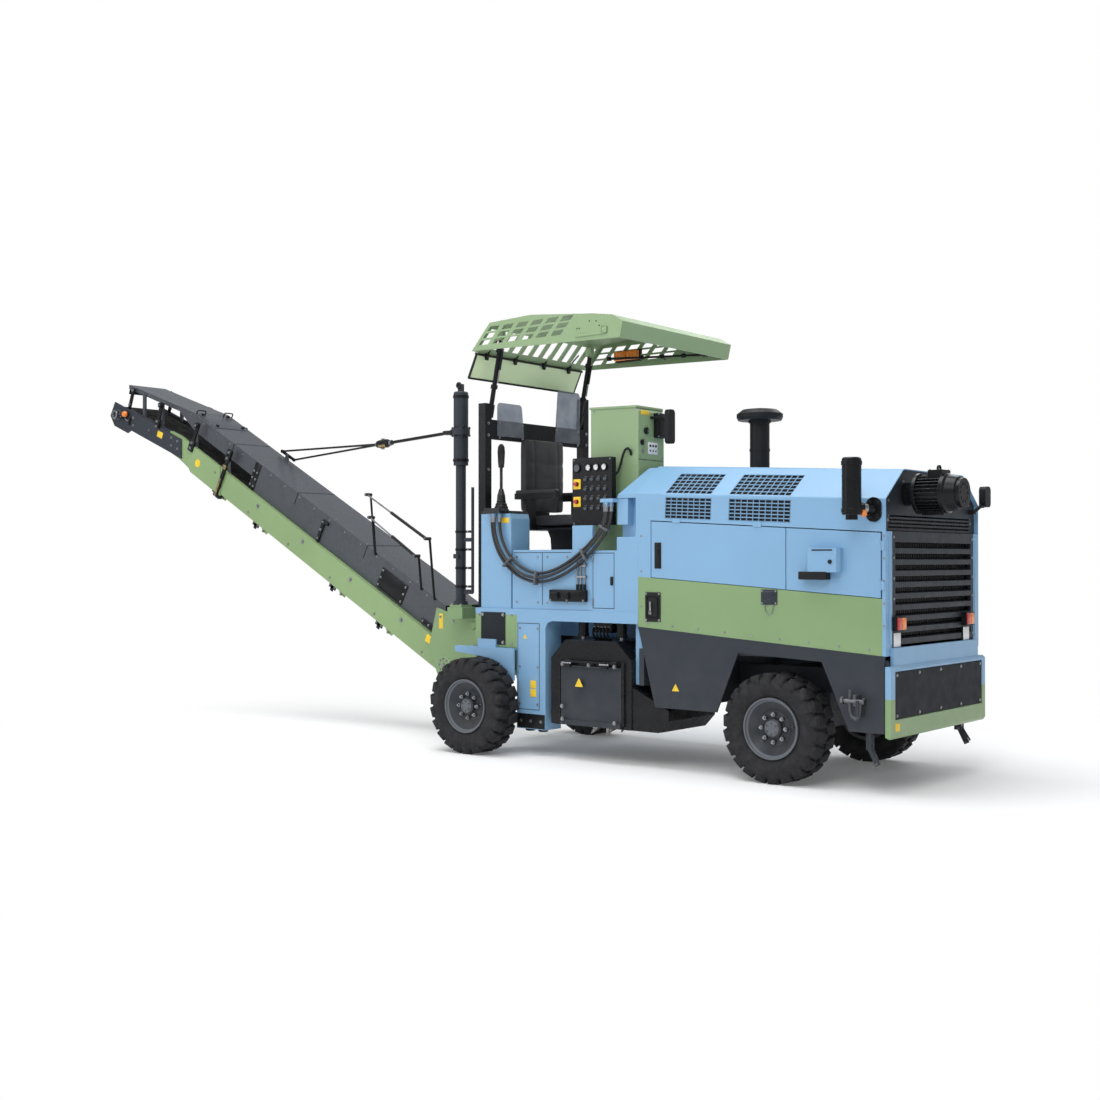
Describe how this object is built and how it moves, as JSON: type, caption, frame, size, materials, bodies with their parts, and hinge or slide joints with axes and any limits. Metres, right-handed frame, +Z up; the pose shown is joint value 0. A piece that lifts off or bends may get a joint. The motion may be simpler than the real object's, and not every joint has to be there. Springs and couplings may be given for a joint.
{
  "type": "compact wheeled cold planer (road milling machine) with a rear discharge conveyor",
  "caption": "Compact four-wheeled cold planer in light blue and green with an engine module, operator's stand under a canopy, milling drum and a slewing rear conveyor.",
  "frame": {"origin": "on the ground, under the middle of the front axle", "axes": "+X forward to the engine end, +Y to the machine's left, +Z up"},
  "size_m": [9.115, 1.748, 3.1999],
  "materials": {
    "belt_rubber": "matte",
    "black_paint": "satin",
    "black_plastic": "matte",
    "bright_steel": "machined",
    "cast_steel": "rough",
    "dark_grey_paint": "satin",
    "green_paint": "satin",
    "hose_rubber": "matte",
    "lamp_lens": "gloss",
    "light_blue_paint": "satin",
    "rim_grey": "satin",
    "tinted_screen": "translucent",
    "tyre_rubber": "matte"
  },
  "bodies": {
    "chassis": {"main_frame": "dark_grey_paint", "side_skirts": "dark_grey_paint", "front_axle": "cast_steel", "engine_block": "cast_steel", "hood": "light_blue_paint", "hood_vents": "light_blue_paint", "side_bands": "green_paint", "front_grille": "dark_grey_paint", "hood_end_plate": "dark_grey_paint", "front_bumper": "light_blue_paint", "bumper_panel": "dark_grey_paint", "tail_lamps": "lamp_lens", "exhaust_muffler": "black_paint", "air_intake": "black_plastic", "fan_motor": "black_paint", "mirrors": "black_plastic", "rear_frame": "light_blue_paint", "rear_legs": "light_blue_paint", "milling_housing": "black_paint", "tank_housing": "light_blue_paint", "control_cabinet": "green_paint", "instrument_panel": "dark_grey_paint", "steering_column": "light_blue_paint", "seat_base": "black_plastic", "stand_hose_upper": "hose_rubber", "stand_hose_middle": "hose_rubber", "stand_hose_lower": "hose_rubber", "operator_seat": "black_plastic", "guard_frame": "dark_grey_paint", "wind_screens": "tinted_screen"},
    "right_rear_door": {"right_rear_door": "light_blue_paint"},
    "left_rear_door": {"left_rear_door": "light_blue_paint"},
    "right_front_door": {"right_front_door": "light_blue_paint"},
    "left_front_door": {"left_front_door": "light_blue_paint"},
    "knuckle_right": {"knuckle_right": "cast_steel"},
    "knuckle_left": {"knuckle_left": "cast_steel"},
    "tie_rod": {"tie_rod": "bright_steel"},
    "wheel_front_right": {"tyre_front_right": "tyre_rubber", "rim_front_right": "rim_grey"},
    "wheel_front_left": {"tyre_front_left": "tyre_rubber", "rim_front_left": "rim_grey"},
    "wheel_rear_right": {"tyre_rear_right": "tyre_rubber", "rim_rear_right": "rim_grey"},
    "wheel_rear_left": {"tyre_rear_left": "tyre_rubber", "rim_rear_left": "rim_grey"},
    "milling_drum": {"milling_drum": "cast_steel"},
    "right_edge_plate": {"right_edge_plate": "dark_grey_paint"},
    "left_edge_plate": {"left_edge_plate": "dark_grey_paint"},
    "canopy": {"canopy_roof": "green_paint", "canopy_struts": "black_paint"},
    "carrier": {"conveyor_carrier": "green_paint", "mast_rod": "dark_grey_paint"},
    "mast_barrel": {"mast_barrel": "dark_grey_paint"},
    "conveyor": {"conveyor_frame": "green_paint", "conveyor_head": "dark_grey_paint", "conveyor_cover": "dark_grey_paint", "conveyor_belt": "belt_rubber", "conveyor_rollers": "bright_steel"},
    "stays": {"stay_rods": "black_paint"}
  },
  "joints": [
    {"name": "right_rear_door_hinge", "type": "hinge", "parent": "chassis", "child": "right_rear_door", "pos_m": [-0.43, -0.704, 1.64941], "axis": [0.9983, 0, -0.058], "range_deg": [-75, 0]},
    {"name": "left_rear_door_hinge", "type": "hinge", "parent": "chassis", "child": "left_rear_door", "pos_m": [-0.43, 0.704, 1.64941], "axis": [0.9983, 0, -0.058], "range_deg": [0, 75]},
    {"name": "right_front_door_hinge", "type": "hinge", "parent": "chassis", "child": "right_front_door", "pos_m": [0.734, -0.704, 1.4], "axis": [0, 0, 1], "range_deg": [0, 105]},
    {"name": "left_front_door_hinge", "type": "hinge", "parent": "chassis", "child": "left_front_door", "pos_m": [0.734, 0.704, 1.4], "axis": [0, 0, 1], "range_deg": [-105, 0]},
    {"name": "steer_right", "type": "hinge", "parent": "chassis", "child": "knuckle_right", "pos_m": [0, -0.47, 0.35], "axis": [0, 0, 1], "range_deg": [-30, 30]},
    {"name": "steer_left", "type": "hinge", "parent": "chassis", "child": "knuckle_left", "pos_m": [0, 0.47, 0.35], "axis": [0, 0, 1], "range_deg": [-30, 30]},
    {"name": "tie_rod_ball", "type": "hinge", "parent": "knuckle_right", "child": "tie_rod", "pos_m": [-0.2, -0.47, 0.298], "axis": [0, 0, 1], "range_deg": [-30, 30]},
    {"name": "spin_front_right", "type": "hinge", "parent": "knuckle_right", "child": "wheel_front_right", "pos_m": [0, -0.648, 0.35], "axis": [0, 1, 0], "continuous": true},
    {"name": "spin_front_left", "type": "hinge", "parent": "knuckle_left", "child": "wheel_front_left", "pos_m": [0, 0.648, 0.35], "axis": [0, 1, 0], "continuous": true},
    {"name": "spin_rear_right", "type": "hinge", "parent": "chassis", "child": "wheel_rear_right", "pos_m": [-2.43, -0.86, 0.35], "axis": [0, 1, 0], "continuous": true},
    {"name": "spin_rear_left", "type": "hinge", "parent": "chassis", "child": "wheel_rear_left", "pos_m": [-2.43, 0.585, 0.35], "axis": [0, 1, 0], "continuous": true},
    {"name": "drum_spin", "type": "hinge", "parent": "chassis", "child": "milling_drum", "pos_m": [-1.48, -0.4, 0.46], "axis": [0, 1, 0], "continuous": true},
    {"name": "right_edge_plate_float", "type": "slide", "parent": "chassis", "child": "right_edge_plate", "axis": [0, 0, 1], "range_m": [0, 0.12]},
    {"name": "left_edge_plate_float", "type": "slide", "parent": "chassis", "child": "left_edge_plate", "axis": [0, 0, 1], "range_m": [0, 0.12]},
    {"name": "canopy_height", "type": "slide", "parent": "chassis", "child": "canopy", "axis": [0.1993, 0, 0.9799], "range_m": [-0.15, 0]},
    {"name": "conveyor_slew", "type": "hinge", "parent": "chassis", "child": "carrier", "pos_m": [-2.68, 0, 0.73], "axis": [0, 0, 1], "range_deg": [-25, 25]},
    {"name": "conveyor_lift", "type": "hinge", "parent": "carrier", "child": "conveyor", "pos_m": [-3.25, 0, 0.575], "axis": [0, 1, 0], "range_deg": [-10, 0]},
    {"name": "mast_stroke", "type": "slide", "parent": "carrier", "child": "mast_barrel", "axis": [0, 0, 1], "range_m": [-0.49, 0.02]},
    {"name": "stay_swing", "type": "hinge", "parent": "conveyor", "child": "stays", "pos_m": [-5.79, 0.2, 2.40749], "axis": [0, 1, 0], "range_deg": [-1, 11]}
  ],
  "couplings": [
    {"joint": "steer_left", "follows": "steer_right", "ratio": 1},
    {"joint": "tie_rod_ball", "follows": "steer_right", "ratio": -1},
    {"joint": "mast_stroke", "follows": "conveyor_lift", "m_per_rad": 2.77},
    {"joint": "stay_swing", "follows": "conveyor_lift", "ratio": -1}
  ]
}
